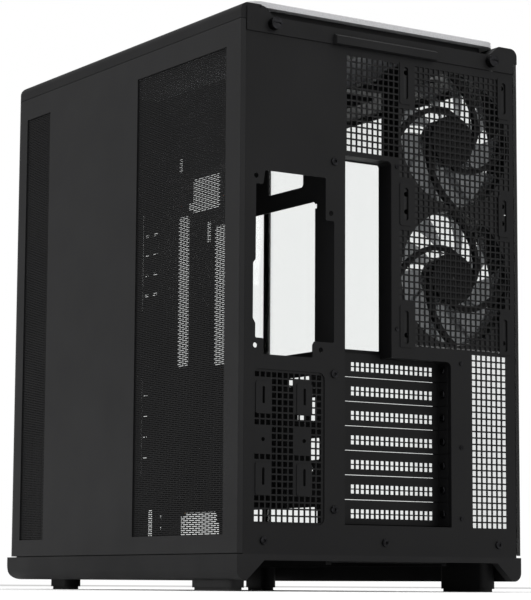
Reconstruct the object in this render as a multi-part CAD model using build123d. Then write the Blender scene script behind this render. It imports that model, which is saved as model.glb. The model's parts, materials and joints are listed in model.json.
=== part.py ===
"""Dual-chamber desktop computer tower, empty of electronics, as separate pieces.

Millimetres, +Z up, front towards -Y, rear towards +Y, perforated steel side at +X, glass side at -X.
The origin is on the standing surface, at the middle of the tower's box.
"""
import math
import os

from build123d import *

# Overall size.
WIDTH = 290.0
BODY_DEPTH = 397.0
REAR_PROUD = 7.0
FOOT_HEIGHT = 9.0
BASE_TOP = 29.2
PANEL_BOTTOM = 30.0
PANEL_TOP = 461.6
RAIL_BOTTOM = 462.0
RAIL_TOP = 475.5
RIM_BOTTOM = 476.4
RIM_TOP = 481.4

# Materials' thicknesses.
STEEL = 1.0
GLASS = 4.0

# The standard sizes that the rear is laid out on.
SLOT_PITCH = 20.32
SLOT_COUNT = 7
IO_WIDTH = 44.45
IO_HEIGHT = 158.75
FAN_SIZE = 120.0
FAN_DEPTH = 25.0
FAN_HOLES = 105.0
PSU_LONG = 138.0
PSU_SHORT = 64.0
PSU_OFFSET_LONG = 114.0
PSU_OFFSET_SHORT = 74.0

# Square perforation of the rear grilles.
PITCH = 5.5
HOLE = 4.2

# Planes worked out from the sizes above.
HALF = WIDTH / 2
REAR_Y = (BODY_DEPTH - REAR_PROUD) / 2
FRONT_Y = REAR_Y - BODY_DEPTH
SLOT_Y = REAR_Y - 16.0
TRAY_X = 46.0
INNER_X = HALF - 6.0
TOP_PLATE_Z = 452.0
BAR_BOTTOM = 452.5
COVER_RETURN = 7.0
BAR_TOP = 466.5

# Rear layout.
IO_RIGHT_X = -6.85
IO_LOW_Z = 200.0
POCKET_LEFT_X = 40.85
POCKET_RIGHT_X = -69.6
SLOT_LOW_Z = 55.0
POCKET_TOP_Z = 359.6
POCKET_STEP_Z = 193.5
POCKET_LOW_Z = 53.8
FAN_X = -75.6
FAN_Z = (386.0, 266.0)
PSU_X = 129.1
PSU_Z = 195.4


def box_between(low, high):
    """A box from its low corner to its high corner."""
    size = [b - a for a, b in zip(low, high)]
    middle = [(a + b) / 2 for a, b in zip(low, high)]
    return Pos(*middle) * Box(*size)


def area(x0, x1, y0, y1, radius=0.0):
    """A rectangle between two corners, with rounded corners if a radius is given."""
    centre = Pos((x0 + x1) / 2, (y0 + y1) / 2)
    if radius:
        return centre * RectangleRounded(abs(x1 - x0), abs(y1 - y0), radius)
    return centre * Rectangle(abs(x1 - x0), abs(y1 - y0))


def outline(points, radius=0.0):
    """A closed face through the points, with every corner rounded alike."""
    if radius:
        return make_face(FilletPolyline(*points, radius=radius, close=True))
    return make_face(Polyline(*points, close=True))


def along_y(face, y_high, thickness):
    """Stands an (X, Z) face up and gives it a thickness from y_high towards the front."""
    plane = Plane(origin=(0, y_high, 0), x_dir=(1, 0, 0), z_dir=(0, -1, 0))
    return extrude(plane * face, amount=thickness)


def along_x(face, x_low, thickness):
    """Stands a (Y, Z) face up and gives it a thickness from x_low towards +X."""
    plane = Plane(origin=(x_low, 0, 0), x_dir=(0, 1, 0), z_dir=(1, 0, 0))
    return extrude(plane * face, amount=thickness)


def along_z(face, z_low, thickness):
    """Lays an (X, Y) face flat and gives it a thickness upwards from z_low."""
    return extrude(Pos(0, 0, z_low) * face, amount=thickness)


def rectangle_wire(x0, x1, y0, y1):
    return Wire.make_polygon([(x0, y0), (x1, y0), (x1, y1), (x0, y1)], close=True)


def grille_face(x0, x1, z0, z1, first_x, first_z, columns, rows, skipped=()):
    """A sheet with square holes on a grid; cells whose middles lie in a skipped area stay whole."""
    holes = []
    for column in range(columns):
        for row in range(rows):
            x = first_x + PITCH * column
            z = first_z + PITCH * row
            if any(a < x < b and c < z < d for a, b, c, d in skipped):
                continue
            half = HOLE / 2
            holes.append(rectangle_wire(x - half, x + half, z - half, z + half))
    return Face(rectangle_wire(x0, x1, z0, z1), holes)


def screw(radius, head, shank_radius, length):
    """A pan-head screw on the Z axis: head up from zero, shank down, with a hexagon socket."""
    body = Pos(0, 0, head / 2) * Cylinder(radius, head)
    body = fillet(body.edges().group_by(Axis.Z)[-1], head * 0.4)
    body = body + Pos(0, 0, -length / 2) * Cylinder(shank_radius, length)
    socket = extrude(Pos(0, 0, head) * RegularPolygon(radius * 0.45, 6), amount=-head * 0.6)
    return body - socket


def facing_rear(shape, x, y, z):
    """Turns a piece built on +Z so that it faces the rear, and puts it at a point."""
    return Pos(x, y, z) * Rot(-90, 0, 0) * shape


def facing_right(shape, x, y, z):
    """Turns a piece built on +Z so that it faces +X, and puts it at a point."""
    return Pos(x, y, z) * Rot(0, 90, 0) * shape


def group(solids):
    """Keeps separate solids together as one node."""
    return Compound(children=[s if isinstance(s, Solid) else s.solids()[0] for s in solids])


# ---------------------------------------------------------------- base and feet

BASE_WALL = 8.0
BASE_FRONT_WALL = 14.0
ARCH_TOP = 24.5
ARCH_HALF_TOP = 119.0
ARCH_HALF_LOW = 136.0
FILTER_X = (-95.0, 27.0)
GRIP_X = (-100.0, 32.0)
FILTER_Y = (FRONT_Y, 152.0)
FILTER_Z = (24.0, 28.0)
FILTER_GRIP_Z = 14.0
FEET = (
    (121.0, 136.8, 110.5, 172.5),
    (100.0, 116.0, -173.0, -137.0),
)
PAD_HEIGHT = 2.7


def rounded_low(x0, x1, z0, z1, radius):
    """A rectangle whose two lower corners are rounded."""
    face = area(x0, x1, z0, z1)
    return fillet(face.vertices().group_by(Axis.Y)[0], radius)


def base_skirt():
    """The moulded ring under the tower, arched at the rear, with rounded lower edges."""
    front_view = rounded_low(-HALF, HALF, FOOT_HEIGHT, BASE_TOP, 7.5)
    side_view = area(FRONT_Y, REAR_Y, FOOT_HEIGHT, BASE_TOP)
    front_corner = side_view.vertices().group_by(Axis.Y)[0].sort_by(Axis.X)[0]
    side_view = fillet(front_corner, 14.0)
    ring = along_y(front_view, REAR_Y, BODY_DEPTH) & along_x(side_view, -HALF, WIDTH)
    inside = box_between(
        (-HALF + BASE_WALL, FRONT_Y + BASE_FRONT_WALL, FOOT_HEIGHT - 1),
        (HALF - BASE_WALL, REAR_Y - BASE_WALL, BASE_TOP + 1),
    )
    arch = outline(
        [
            (-ARCH_HALF_LOW - 8, FOOT_HEIGHT - 8),
            (-ARCH_HALF_TOP, ARCH_TOP),
            (ARCH_HALF_TOP, ARCH_TOP),
            (ARCH_HALF_LOW + 8, FOOT_HEIGHT - 8),
        ],
        3.0,
    )
    grip_gap = box_between(
        (GRIP_X[0] - 0.6, FRONT_Y - 1, FILTER_GRIP_Z - 0.6),
        (GRIP_X[1] + 0.6, FRONT_Y + BASE_FRONT_WALL + 1, BASE_TOP + 1),
    )
    return ring - inside - along_y(arch, REAR_Y + 1, BASE_WALL + 2) - grip_gap - finger_scoop()


def feet():
    """Four stub feet with rounded ends, each standing down from the floor pan."""
    solids = []
    for side in (1, -1):
        for x0, x1, y0, y1 in FEET:
            plan = area(side * x0, side * x1, y0, y1, 6.0)
            solids.append(along_z(plan, PAD_HEIGHT, BASE_TOP - PAD_HEIGHT))
    return group(solids)


def foot_pads():
    """Rubber pads, set in a little from the feet's edges."""
    solids = []
    for side in (1, -1):
        for x0, x1, y0, y1 in FEET:
            plan = area(side * (x0 + 1.6), side * (x1 - 1.6), y0 + 1.6, y1 - 1.6, 5.0)
            solids.append(along_z(plan, 0.0, PAD_HEIGHT))
    return group(solids)


def filter_rails():
    """Two L-shaped runners under the floor pan that the dust filter slides in."""
    solids = []
    for edge, out in ((FILTER_X[0], -1), (FILTER_X[1], 1)):
        y0 = FRONT_Y + BASE_FRONT_WALL + 2
        wall_x = sorted((edge + out * 0.5, edge + out * 2.5))
        lip_x = sorted((edge - out * 3.0, edge + out * 2.5))
        wall = box_between((wall_x[0], y0, FILTER_Z[0] - 2), (wall_x[1], FILTER_Y[1], BASE_TOP))
        lip = box_between(
            (lip_x[0], y0, FILTER_Z[0] - 2), (lip_x[1], FILTER_Y[1], FILTER_Z[0] - 0.5)
        )
        solids.append(wall + lip)
    return group(solids)


def finger_scoop():
    """The round hollow that a finger pulls the dust filter out by."""
    middle = (GRIP_X[0] + GRIP_X[1]) / 2
    return Pos(middle, FRONT_Y + 1, FILTER_GRIP_Z) * Rot(0, 90, 0) * Cylinder(7.0, 60)


def filter_frame():
    """The bottom dust filter's frame, with a finger grip flush with the base's front."""
    x0, x1 = FILTER_X
    frame = box_between(
        (x0, FRONT_Y + BASE_FRONT_WALL + 1, FILTER_Z[0]), (x1, FILTER_Y[1], FILTER_Z[1])
    )
    window = box_between(
        (x0 + 7, FRONT_Y + BASE_FRONT_WALL + 9, FILTER_Z[0] - 1),
        (x1 - 7, FILTER_Y[1] - 8, FILTER_Z[1] + 1),
    )
    grip = box_between(
        (GRIP_X[0], FRONT_Y + 0.5, FILTER_GRIP_Z), (GRIP_X[1], FRONT_Y + BASE_FRONT_WALL - 1, FILTER_Z[1])
    )
    neck = box_between(
        (x0, FRONT_Y + 4, FILTER_Z[0]), (x1, FRONT_Y + BASE_FRONT_WALL + 2, FILTER_Z[1])
    )
    return frame - window + grip + neck - finger_scoop()


def filter_mesh():
    """The fine mesh that fills the filter's frame."""
    return box_between(
        (FILTER_X[0] + 7, FRONT_Y + BASE_FRONT_WALL + 9, FILTER_Z[0] + 1.6),
        (FILTER_X[1] - 7, FILTER_Y[1] - 8, FILTER_Z[0] + 2.4),
    )


# ---------------------------------------------------------------- steel frame

VENT_SLOT = (16.0, 4.0)


def floor_pan():
    """The steel floor, with rows of vent slots over the dust filter."""
    pan = area(-INNER_X, INNER_X, FRONT_Y + COVER_RETURN, REAR_Y - 2)
    slots = Sketch()
    for column in range(5):
        for row in range(27):
            spot = Pos(-76 + 22 * column, -155 + 11 * row)
            slots = slots + spot * SlotOverall(*VENT_SLOT)
    return along_z(pan - slots, BASE_TOP, STEEL)


def tray_windows():
    """The cut-outs of the motherboard tray, as (Y, Z) faces."""
    windows = [
        area(1, 160, 198.4, 325, 3) + area(150, 162.6, 319, 323),
        area(-62, -42, 201.5, 341, 4),
        area(-37, 10, 341, 373, 3) + area(-45, -30, 345, 352, 1.5),
        area(88, 142, 340, 373, 3),
        area(-62, -55, 383, 396, 1.5),
        area(-12, -5, 311, 331, 1.5),
        area(-53, 9.5, 44, 69, 4) + area(-53, 13, 44, 60, 3),
        area(62, 164.5, 44, 69, 4),
        area(-111, -103, 48, 73, 1.5),
        area(121, 152, 171, 178.5, 1.5),
        area(152, 162, 140, 160, 1.5),
        area(153, 167, 108, 126, 1.5),
        area(134, 147, 142, 149, 1.5),
    ]
    for z in (56.5, 67.0):
        windows.append(Pos(-88, z) * Circle(1.8))
    windows.append(Pos(156, 100) * Circle(1.8))
    return windows


def tie_slots():
    """Two tall narrow slits near the tray's front, with short tie slots beside them."""
    faces = [area(-127, -125, 260, 352), area(-126, -124.2, 106, 197)]
    for row in range(4):
        z = 331.5 - 19.0 * row
        faces.append(area(-122, -115, z - 1.4, z + 1.4))
        faces.append(area(-108, -99, z - 1.4, z + 1.4))
        low = 180.0 - 19.2 * row
        faces.append(area(-122.5, -114.5, low - 1.1, low + 1.1))
    return faces


def motherboard_tray():
    """The upright steel sheet between the two chambers."""
    sheet = area(FRONT_Y + COVER_RETURN + STEEL, REAR_Y - STEEL, BASE_TOP + STEEL, TOP_PLATE_Z)
    for face in tray_windows() + tie_slots():
        sheet = sheet - face
    for y, z in standoff_spots():
        sheet = sheet - Pos(y, z) * Circle(STANDOFF_BORE)
    return along_x(sheet, TRAY_X, STEEL)


BOARD_TOP_Z = 358.0
BOARD_REAR_Y = 180.0
STANDOFF_ROWS = (6.35, 163.83, 288.29)
STANDOFF_COLUMNS = (10.16, 165.1, 237.49)
STANDOFF_LENGTH = 6.35
STANDOFF_BORE = 1.4


def standoff_spots():
    return [(BOARD_REAR_Y - back, BOARD_TOP_Z - drop) for drop in STANDOFF_ROWS for back in STANDOFF_COLUMNS]


def standoffs():
    """Brass hexagon standoffs on the standard motherboard hole pattern, tapped right through."""
    post = extrude(RegularPolygon(3.0, 6) - Circle(STANDOFF_BORE), amount=STANDOFF_LENGTH)
    return group([Pos(TRAY_X, y, z) * Rot(0, -90, 0) * post for y, z in standoff_spots()])


TOP_OPENINGS_Y = (-124.0, 0.0, 124.0)


def top_plate():
    """The steel top, open over three fan places, with screw holes round each."""
    plate = area(-INNER_X, INNER_X, FRONT_Y + COVER_RETURN, REAR_Y - 2)
    for y in TOP_OPENINGS_Y:
        plate = plate - Pos(-45, y) * RectangleRounded(112, 112, 20)
        for sx in (-1, 1):
            for sy in (-1, 1):
                plate = plate - Pos(-45 + sx * FAN_HOLES / 2, y + sy * FAN_HOLES / 2) * Circle(2.2)
    plate = plate - area(60, 125, -150, 120, 10)
    return along_z(plate, TOP_PLATE_Z, STEEL)


def front_bulkhead():
    """The steel sheet that closes the right-hand chamber behind the front cover."""
    sheet = area(TRAY_X, INNER_X - 4, BASE_TOP + STEEL, TOP_PLATE_Z)
    sheet = sheet - area(78, 106, 270, 420, 3)
    for row in range(9):
        sheet = sheet - Pos(92, 50 + 22 * row) * SlotOverall(60, 8)
    return along_y(sheet, FRONT_Y + COVER_RETURN + STEEL, STEEL)


# ---------------------------------------------------------------- rear panel

GRILLE_LOW = (61.2, 131.4, 52.8, 176.8)
GRILLE_SPLIT_X = -14.7
GRILLE_SPLIT_Z = 325.0
FAN_GRILLE_X = (-138.5, GRILLE_SPLIT_X)
FAN_GRILLE_Z = (203.0, 447.0)
UPPER_GRILLE_Z = (362.5, 447.0)
BOSS_X = (80.6, 120.4)
BOSS_Z = (91.0, 156.0)
BOSS_RAISE = 0.6
BOSS_SLOT = 14.0
BOSS_PILOT_Z = 120.5
VENT_X = (-130.5, -91.5)
VENT_Z = (53.0, 202.0)
FAN_SLOT_HEIGHTS = (429.2, 324.8, 220.0)
FAN_SLOT_REACH = 53.5


def pocket_outline(grow):
    """The stepped outline of the recess that holds the port plate and the card slots."""
    left = POCKET_LEFT_X + grow
    top = POCKET_TOP_Z + grow
    step_corner = (POCKET_RIGHT_X - grow, POCKET_STEP_Z + grow)
    face = outline(
        [
            (left, POCKET_LOW_Z - grow),
            (left, top),
            (IO_RIGHT_X - grow, top),
            (IO_RIGHT_X - grow, POCKET_STEP_Z + grow),
            step_corner,
            (POCKET_RIGHT_X - grow, POCKET_LOW_Z - grow),
        ]
    )
    for corner, radius in ((step_corner, 5.0 + grow), ((IO_RIGHT_X - grow, top), 4.0 + grow)):
        vertex = face.vertices().sort_by_distance(Vertex(*corner, 0))[0]
        face = fillet(vertex, radius)
    return face


def psu_opening():
    """The power supply's opening, stepped in at each of its four screws."""
    return outline(
        [
            (120.5, 338.5),
            (60.5, 338.5),
            (60.5, 303.0),
            (52.0, 303.0),
            (52.0, 202.0),
            (71.5, 202.0),
            (73.2, 199.0),
            (73.2, 188.6),
            (121.4, 188.6),
            (121.4, 201.5),
            (129.2, 201.5),
            (129.2, 213.0),
            (131.6, 217.0),
            (131.6, 262.0),
            (129.2, 265.0),
            (129.2, 327.0),
            (122.3, 327.0),
        ],
        1.4,
    )


def psu_screw_spots():
    return (
        (PSU_X, PSU_Z),
        (PSU_X, PSU_Z + PSU_LONG),
        (PSU_X - PSU_SHORT, PSU_Z),
        (PSU_X - PSU_OFFSET_SHORT, PSU_Z + PSU_OFFSET_LONG),
    )


def rear_panel():
    """The steel back, with windows for the recess, the power supply and the grilles."""
    sheet = area(-INNER_X - 0.8, INNER_X + 0.8, BASE_TOP, BAR_BOTTOM - 0.3)
    sheet = sheet - pocket_outline(0.0) - psu_opening()
    sheet = sheet - area(*GRILLE_LOW, 6)
    sheet = sheet - area(*FAN_GRILLE_X, *FAN_GRILLE_Z)
    sheet = sheet - area(GRILLE_SPLIT_X, POCKET_LEFT_X, *UPPER_GRILLE_Z)
    sheet = sheet - area(*VENT_X, *VENT_Z)
    for x, z in psu_screw_spots():
        sheet = sheet - Pos(x, z) * Circle(2.1)
    for x, z in REAR_SCREWS:
        sheet = sheet - Pos(x, z) * Circle(SCREW_HOLE)
    return along_y(sheet, REAR_Y, STEEL)


def rear_pocket():
    """The recess: walls in from the back, and a plate with the port and card openings."""
    depth = REAR_Y - SLOT_Y + STEEL
    walls = along_y(pocket_outline(STEEL) - pocket_outline(0.0), REAR_Y - STEEL, depth)
    ports = area(IO_RIGHT_X + 0.2, IO_RIGHT_X + IO_WIDTH, IO_LOW_Z, IO_LOW_Z + IO_HEIGHT)
    cards = area(
        POCKET_RIGHT_X + 6, POCKET_LEFT_X - 4, SLOT_LOW_Z + 1, SLOT_LOW_Z + SLOT_COUNT * SLOT_PITCH - 1
    )
    floor = along_y(pocket_outline(STEEL / 2) - ports - cards, SLOT_Y - STEEL, STEEL)
    return walls + floor


def psu_grille():
    """The lower grille of the power supply's chamber, with slotted bosses for small fans."""
    x0, x1, z0, z1 = GRILLE_LOW
    bosses = []
    for x in BOSS_X:
        for z in BOSS_Z:
            bosses.append((x - 8.5, x + 8.5, z - 16, z + 12))
        bosses.append((x - 8.5, x + 8.5, 112, 131))
    first_x = (x0 + x1) / 2 - 5.5 * PITCH
    first_z = (z0 + z1) / 2 - 10.5 * PITCH
    face = grille_face(x0 - 3, x1 + 3, z0 - 3, z1 + 3, first_x, first_z, 12, 22, bosses)
    sheet = along_y(face, REAR_Y - STEEL, STEEL)
    for x in BOSS_X:
        for z in BOSS_Z:
            pad = area(x - 7.5, x + 7.5, z - 15, z + 11, 2)
            slot = Pos(x, z) * SlotOverall(BOSS_SLOT, 2.4, rotation=90)
            sheet = sheet + along_y(pad - slot, REAR_Y - STEEL + BOSS_RAISE, BOSS_RAISE)
            sheet = sheet - along_y(slot, REAR_Y, 4)
        sheet = sheet - along_y(Pos(x, BOSS_PILOT_Z) * Circle(1.7), REAR_Y, 4)
    return sheet


def upper_grille():
    """The grille beside the upper fan, over the port plate."""
    face = grille_face(GRILLE_SPLIT_X, POCKET_LEFT_X, *UPPER_GRILLE_Z, -12.2, 366.0, 10, 15)
    return along_y(face, REAR_Y, STEEL)


def fan_grille(z0, z1, first_z, rows, skipped):
    """Half of the perforated sheet over the two fans, with pressed pads round its screw slots."""
    x0, x1 = FAN_GRILLE_X
    face = grille_face(x0, x1, z0, z1, x1 - 2.75 - 21 * PITCH, first_z, 22, rows, skipped)
    sheet = along_y(face, REAR_Y, STEEL)
    limit = area(x0 + 0.5, x1 - 0.5, z0, z1)
    for z in FAN_SLOT_HEIGHTS:
        if z + 20 < z0 or z - 20 > z1:
            continue
        for x in (FAN_X - FAN_SLOT_REACH, FAN_X + FAN_SLOT_REACH):
            slot = Pos(x, z) * SlotOverall(28, 4.6, rotation=90)
            pad = (area(x - 6.5, x + 6.5, z - 18.5, z + 18.5, 2) & limit) - slot
            sheet = sheet + along_y(pad, REAR_Y + BOSS_RAISE, BOSS_RAISE)
            sheet = sheet - along_y(slot, REAR_Y + 1, 4)
    return sheet


def slot_pads(z, reach):
    """The unperforated areas round the pair of screw slots at one height."""
    return [(-31.5, -14.0, z - reach, z + reach), (-139.0, -125.0, z - reach, z + reach)]


def fan_grille_upper():
    skipped = slot_pads(FAN_SLOT_HEIGHTS[0], 20.0) + slot_pads(FAN_SLOT_HEIGHTS[1], 20.0)
    return fan_grille(GRILLE_SPLIT_Z, FAN_GRILLE_Z[1], GRILLE_SPLIT_Z + PITCH / 2, 22, skipped)


def fan_grille_lower():
    skipped = slot_pads(FAN_SLOT_HEIGHTS[1], 20.0) + slot_pads(FAN_SLOT_HEIGHTS[2], 20.0)
    first_z = GRILLE_SPLIT_Z - 21.5 * PITCH
    return fan_grille(FAN_GRILLE_Z[0], GRILLE_SPLIT_Z, first_z, 22, skipped)


def side_vent():
    """The tall grille beside the card slots."""
    face = grille_face(*VENT_X, *VENT_Z, -127.5, 56.0, 7, 27)
    return along_y(face, REAR_Y, STEEL)


def slot_cover(index):
    """One card slot's blanking cover: perforated, with its end bent out along the recess wall."""
    z0 = SLOT_LOW_Z + SLOT_PITCH * index + 0.25
    z1 = z0 + SLOT_PITCH - 0.5
    x0 = POCKET_RIGHT_X + 0.1
    x1 = POCKET_LEFT_X - 0.6
    holes = []
    for column in range(17):
        for row in range(2):
            x = -60.1 + 5.1 * column
            z = z0 + 6.4 + 4.2 * row
            holes.append(rectangle_wire(x - 1.8, x + 1.8, z - 1.6, z + 1.6))
    plate = along_y(Face(rectangle_wire(x0, x1, z0, z1), holes), SLOT_Y, STEEL)
    tab = box_between((x0, SLOT_Y - STEEL, z0), (x0 + STEEL, SLOT_Y + 12, z1))
    screw_z = SLOT_LOW_Z + SLOT_PITCH * (index + 0.5)
    cover = plate + tab - facing_right(Cylinder(2.0, 6), x0, SLOT_Y + 6, screw_z)
    if index == SLOT_COUNT - 1:
        cover = cover & along_y(pocket_outline(-0.1), SLOT_Y + 20, 30)
    return cover


def slot_screws():
    """One screw through each cover's bent end."""
    solids = []
    for index in range(SLOT_COUNT):
        z = SLOT_LOW_Z + SLOT_PITCH * (index + 0.5)
        x = POCKET_RIGHT_X + 0.1 + STEEL
        solids.append(facing_right(screw(3.4, 1.8, 1.7, 1.1), x, SLOT_Y + 6, z))
    return group(solids)


SCREW_HOLE = 1.6
REAR_SCREWS = (
    (51.75, 353.2),
    (51.75, 176.4),
    (51.75, 65.9),
    (120.2, 39.8),
    (0.0, 39.8),
    (-120.2, 39.8),
)


def rear_screws():
    """Pan-head screws that hold the back to the frame."""
    return group([facing_rear(screw(3.3, 1.6, 1.5, 0.8), x, REAR_Y, z) for x, z in REAR_SCREWS])


REAR_RIVETS = ((-12.6, 355.9), (-12.6, 217.9), (-80.4, 192.7), (-80.4, 121.4), (-80.4, 61.2))


def rear_rivets():
    """Small round rivets between the recess and the grilles."""
    rivet = Pos(0, 0, 0.4) * Cylinder(1.8, 0.8)
    return group([facing_rear(rivet, x, REAR_Y, z) for x, z in REAR_RIVETS])


# ---------------------------------------------------------------- fans

FAN_FACE_Y = REAR_Y - STEEL
FAN_BORE = 58.0
BLADE_COUNT = 9
SHAFT = 1.5
MOUNT_R = 22.0
SHAFT_GAP = 0.05


def polar(radius, angle):
    """A flat point from a radius and an angle in degrees."""
    return (radius * math.cos(math.radians(angle)), radius * math.sin(math.radians(angle)))


def fan_strut(turn):
    """One arm that leaves the motor mount along its rim and curves out to the frame."""
    points = [polar(19.5, -104), polar(25, -80), polar(33.5, -49), polar(46, -20), polar(58.6, 0)]
    path = Spline(*points)
    section = Plane(origin=path @ 0, z_dir=path % 0) * Rectangle(4.6, 4.0)
    return Rot(0, 0, turn) * sweep(section, path=path)


def fan_frame_shape():
    """A fan's square frame with motor mount, its rear face at zero and its body below."""
    plan = RectangleRounded(FAN_SIZE, FAN_SIZE, 7)
    frame = extrude(plan, amount=-FAN_DEPTH) - Pos(0, 0, -FAN_DEPTH / 2) * Cylinder(
        FAN_BORE, FAN_DEPTH + 2
    )
    for sx in (-1, 1):
        for sy in (-1, 1):
            frame = frame - Pos(sx * FAN_HOLES / 2, sy * FAN_HOLES / 2, 0) * Cylinder(2.2, 60)
    mount = Pos(0, 0, -3.5) * Cylinder(MOUNT_R, 3.0)
    struts = [Pos(0, 0, -3.5) * fan_strut(90 * i + 2) for i in range(4)]
    for strut in struts:
        mount = mount + strut
    frame = frame + mount
    return frame - Pos(0, 0, -4) * Cylinder(SHAFT + SHAFT_GAP, 10)


def fan_blade():
    """One swept and twisted blade, from the hub out to just inside the frame."""
    sections = []
    for radius, sweep_angle, pitch, chord in ((19, 0, 50, 19), (38, 9, 36, 28), (58, 22, 27, 37)):
        place = Rot(0, 0, sweep_angle) * Pos(radius, 0, -14.0) * Rot(0, 90, 0)
        sections.append(place * Rot(0, 0, 90 + pitch) * Rectangle(chord, 1.3))
    return loft(sections, ruled=False)


def fan_rotor_shape():
    """The turning part of a fan: cup, blades and shaft, on the frame's axis."""
    cup = Pos(0, 0, -14.5) * Cylinder(20.5, 18.0)
    cup = fillet(cup.edges().group_by(Axis.Z)[0], 2.0)
    limit = Pos(0, 0, -14.25) * Cylinder(FAN_BORE - 1.0, 17.5)
    blade = fan_blade() & limit
    rotor = cup
    for index in range(BLADE_COUNT):
        rotor = rotor + Rot(0, 0, 360 / BLADE_COUNT * index) * blade
    return rotor + Pos(0, 0, -4.0) * Cylinder(SHAFT, 3.4)


# ---------------------------------------------------------------- top cover

RAIL_WIDTH = 20.0
THUMB_X = 114.0
THUMB_Z = 460.3
THUMB_HEAD = REAR_PROUD - 1.2
THUMB_SHANK = 1.9
COVER_FRONT_WIDTH = 22.0
CORNER = 11.0
BAR_DEPTH = 12.0
RIM_HALF = 128.5
RIM_REAR_Y = REAR_Y - 9.0
RIM_FRONT_Y = FRONT_Y + 16.0
SKIRT_INSET = 8.0
RAMP_RUN = 15.0
LIP_HALF = 53.0
LIP_TOP = 462.0
LIP_Y = REAR_Y + 5.5


def top_cover():
    """The moulded top frame: round-topped rails, a front bar and a lower rear bar."""
    outer = box_between((-HALF, FRONT_Y, RAIL_BOTTOM), (HALF, REAR_Y, RAIL_TOP))
    front_corners = outer.edges().filter_by(Axis.Z).sort_by(Axis.Y)[:2]
    outer = fillet(front_corners, CORNER)
    top_edges = outer.edges().group_by(Axis.Z)[-1].sort_by(Axis.Y)[:-1]
    outer = fillet(top_edges, 7.0)
    inner_half = HALF - RAIL_WIDTH
    cavity = box_between(
        (-inner_half, FRONT_Y + COVER_FRONT_WIDTH, RAIL_BOTTOM - 1),
        (inner_half, REAR_Y + 1, RAIL_TOP + 1),
    )
    cover = outer - cavity
    bar = box_between((-INNER_X, REAR_Y - BAR_DEPTH, BAR_BOTTOM), (INNER_X, REAR_Y + 1, BAR_TOP))
    bar = bar - box_between(
        (-INNER_X - 1, REAR_Y - BAR_DEPTH - 1, BAR_BOTTOM - 1), (INNER_X + 1, REAR_Y, BAR_TOP - 3)
    )
    cover = cover + bar
    for side in (1, -1):
        rail = side * (inner_half + 1)
        foot = side * (inner_half - RAMP_RUN)
        middle = (side * (inner_half - RAMP_RUN / 2 + 0.5), (RAIL_TOP - 1 + BAR_TOP) / 2)
        fall = Spline((rail, RAIL_TOP - 1), middle, (foot, BAR_TOP), tangents=[(-side, 0), (-side, 0)])
        low = BAR_TOP - 2
        rest = Polyline((foot, BAR_TOP), (foot, low), (rail, low), (rail, RAIL_TOP - 1))
        ramp = make_face([fall, rest])
        cover = cover + along_y(ramp, REAR_Y + 1, BAR_DEPTH + 1)
        cheek = area(rail, side * (INNER_X + 0.5), BAR_BOTTOM, RAIL_TOP - 3)
        cover = cover + along_y(cheek, REAR_Y + 1, 1.0)
    for side in (1, -1):
        cover = cover - along_y(Pos(side * THUMB_X, THUMB_Z) * Circle(THUMB_SHANK + SHAFT_GAP), REAR_Y + 2, 4)
    lip = outline([(REAR_Y, BAR_BOTTOM), (REAR_Y, LIP_TOP), (LIP_Y, LIP_TOP - 3), (LIP_Y, BAR_BOTTOM)])
    return cover + along_x(lip, -LIP_HALF, 2 * LIP_HALF)


def top_rim():
    """The pale frame of the lift-off top panel, with rounded corners."""
    y_middle = (RIM_REAR_Y + RIM_FRONT_Y) / 2
    depth = RIM_REAR_Y - RIM_FRONT_Y
    place = Pos(0, y_middle)
    ring = place * RectangleRounded(2 * RIM_HALF, depth, 10)
    ring = ring - place * RectangleRounded(2 * RIM_HALF - 24, depth - 24, 6)
    rim = along_z(ring, RIM_BOTTOM, RIM_TOP - RIM_BOTTOM)
    return chamfer(rim.edges().group_by(Axis.Z)[-1], 0.6)


def top_mesh():
    """The fine steel mesh inside the pale frame."""
    y_middle = (RIM_REAR_Y + RIM_FRONT_Y) / 2
    depth = RIM_REAR_Y - RIM_FRONT_Y
    plan = Pos(0, y_middle) * RectangleRounded(2 * RIM_HALF - 24, depth - 24, 6)
    return along_z(plan, RIM_TOP - 2.4, 1.0)


def top_skirt():
    """The dark tray under the pale frame, which stands on the steel top."""
    y_middle = (RIM_REAR_Y + RIM_FRONT_Y) / 2
    depth = RIM_REAR_Y - RIM_FRONT_Y
    place = Pos(0, y_middle)
    outer = place * RectangleRounded(2 * (RIM_HALF - SKIRT_INSET), depth - 2 * SKIRT_INSET, 8)
    wall = outer - place * RectangleRounded(
        2 * (RIM_HALF - SKIRT_INSET) - 5, depth - 2 * SKIRT_INSET - 5, 7
    )
    skirt = along_z(wall, TOP_PLATE_Z + STEEL, RIM_BOTTOM - TOP_PLATE_Z - STEEL)
    for x in (101.0, 7.0, -89.0):
        notch_y = RIM_REAR_Y - SKIRT_INSET
        skirt = skirt - box_between((x - 0.8, notch_y - 1, 468.0), (x + 0.8, notch_y + 1, 472.5))
    return skirt


def thumbscrew():
    """A knurled thumbscrew on the Z axis, with its shank below zero."""
    knob = extrude(Circle(5.2), amount=THUMB_HEAD)
    for index in range(18):
        turn = Rot(0, 0, 20 * index)
        knob = knob - turn * Pos(5.4, 0, 3.2) * Cylinder(0.5, 5)
    knob = knob - Pos(0, 0, THUMB_HEAD) * Box(7, 1.2, 1.6)
    return knob + Pos(0, 0, -3) * Cylinder(THUMB_SHANK, 6)


# ---------------------------------------------------------------- side panels

MESH_LOW = 44.7
MESH_HIGH = 441.5
WIDE_MESH_Y = (REAR_Y - 165.5, REAR_Y - 21.5)
NARROW_MESH_Y = (REAR_Y - 373.3, REAR_Y - 327.5)
FRONT_RETURN_X = 133.0


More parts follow.
